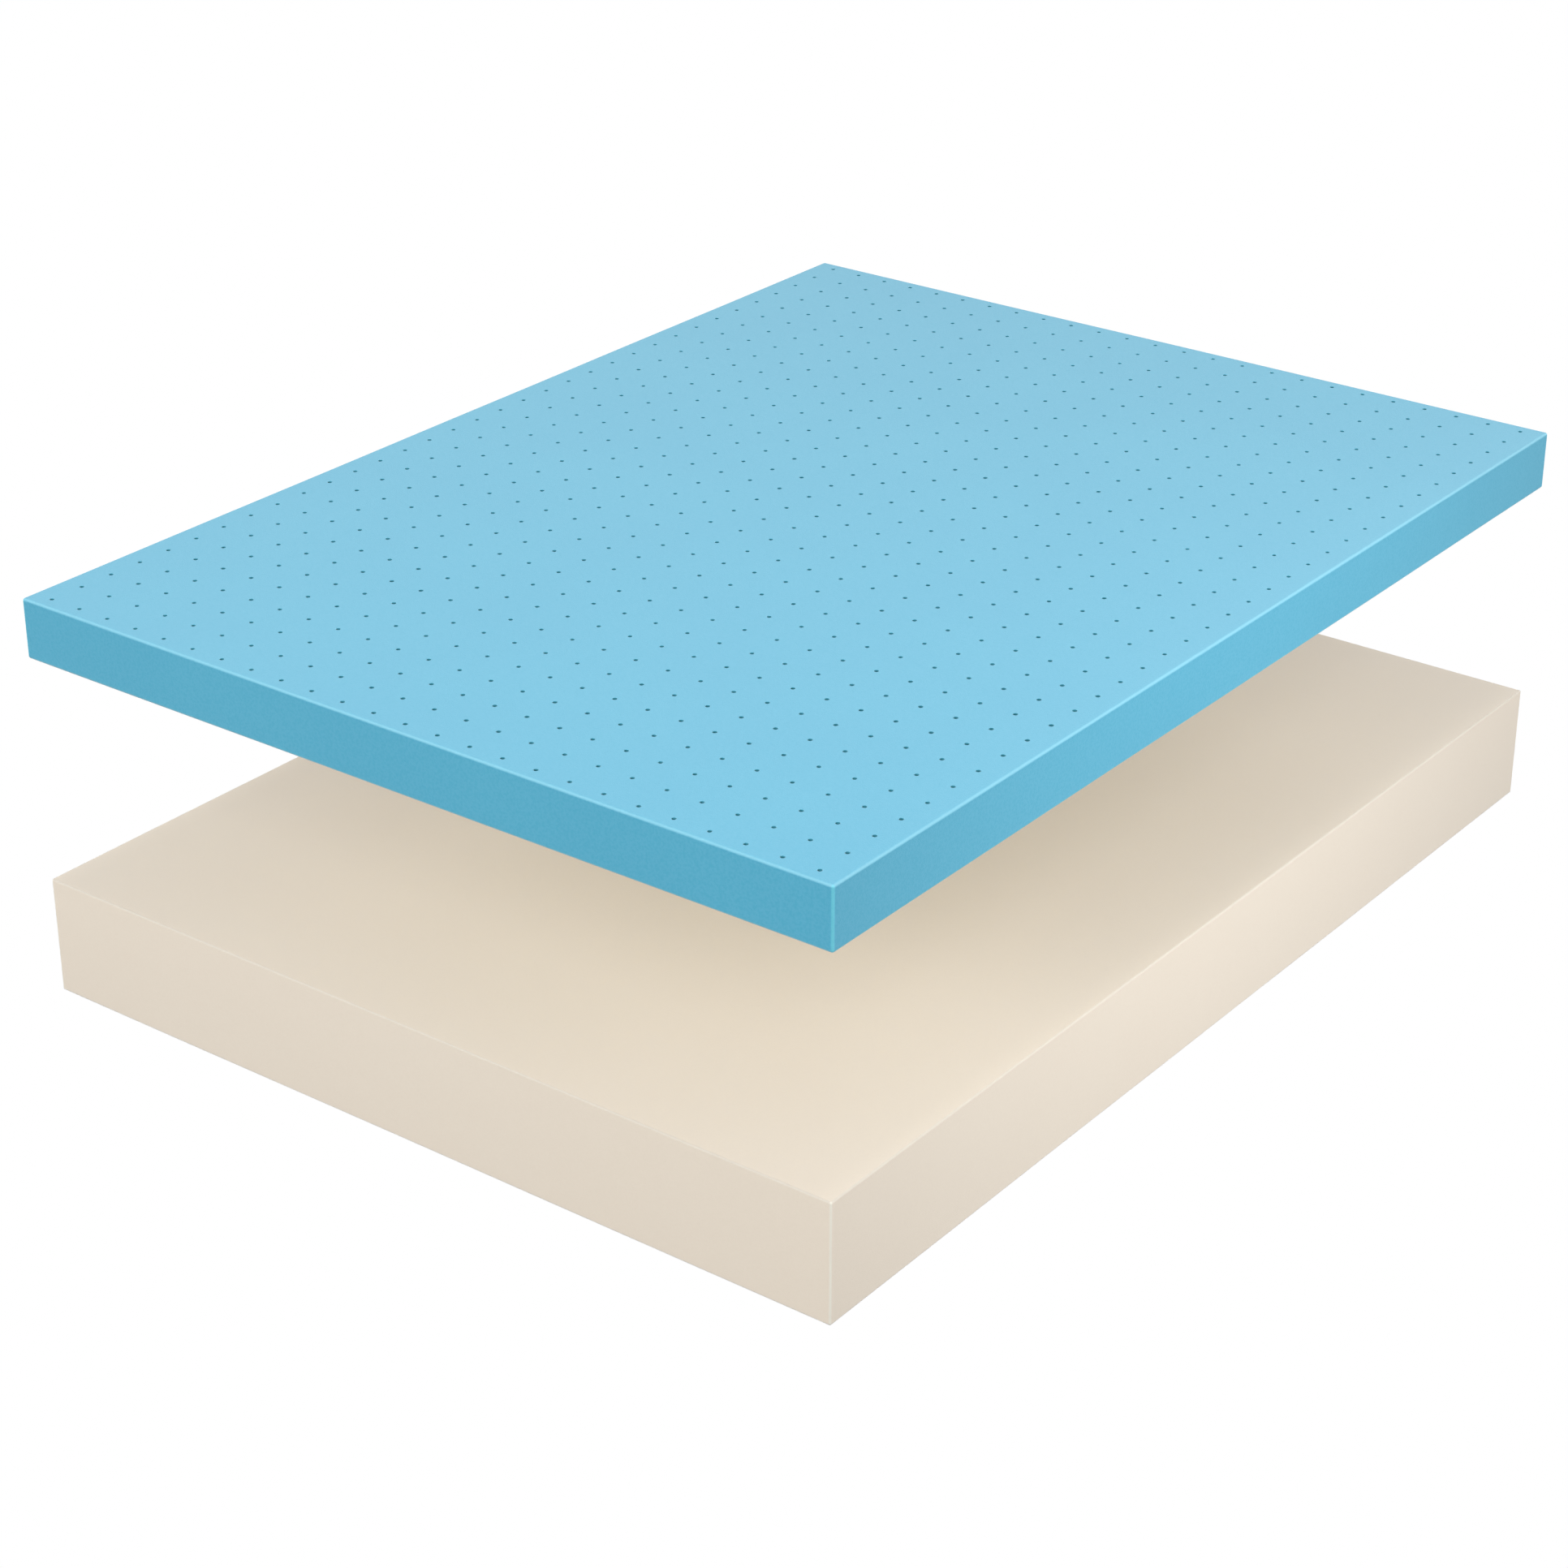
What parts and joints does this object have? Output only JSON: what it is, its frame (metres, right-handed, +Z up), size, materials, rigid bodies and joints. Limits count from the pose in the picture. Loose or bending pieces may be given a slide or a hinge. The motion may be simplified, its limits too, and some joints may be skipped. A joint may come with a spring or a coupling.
{
  "type": "memory foam mattress",
  "caption": "Queen memory foam mattress core: a thick plain support foam base under a thinner blue gel memory foam comfort layer with a square grid of air holes, which lifts straight off.",
  "frame": {"origin": "middle of the underside of the support foam base, which is the bottom centre of the whole object's box", "axes": "+Y along the bed's length, +X across its width, +Z up out of the bed, which is the way the comfort layer lifts"},
  "size_m": [1.52, 2.03, 0.679],
  "materials": {
    "support_foam": "matte",
    "gel_memory_foam": "matte"
  },
  "bodies": {
    "base": {"support_foam_base": "support_foam"},
    "comfort_layer": {"gel_comfort_layer": "gel_memory_foam"}
  },
  "joints": [
    {"name": "comfort_layer_lift", "type": "slide", "parent": "base", "child": "comfort_layer", "axis": [0, 0, 1], "range_m": [-0.3785, 0]}
  ]
}
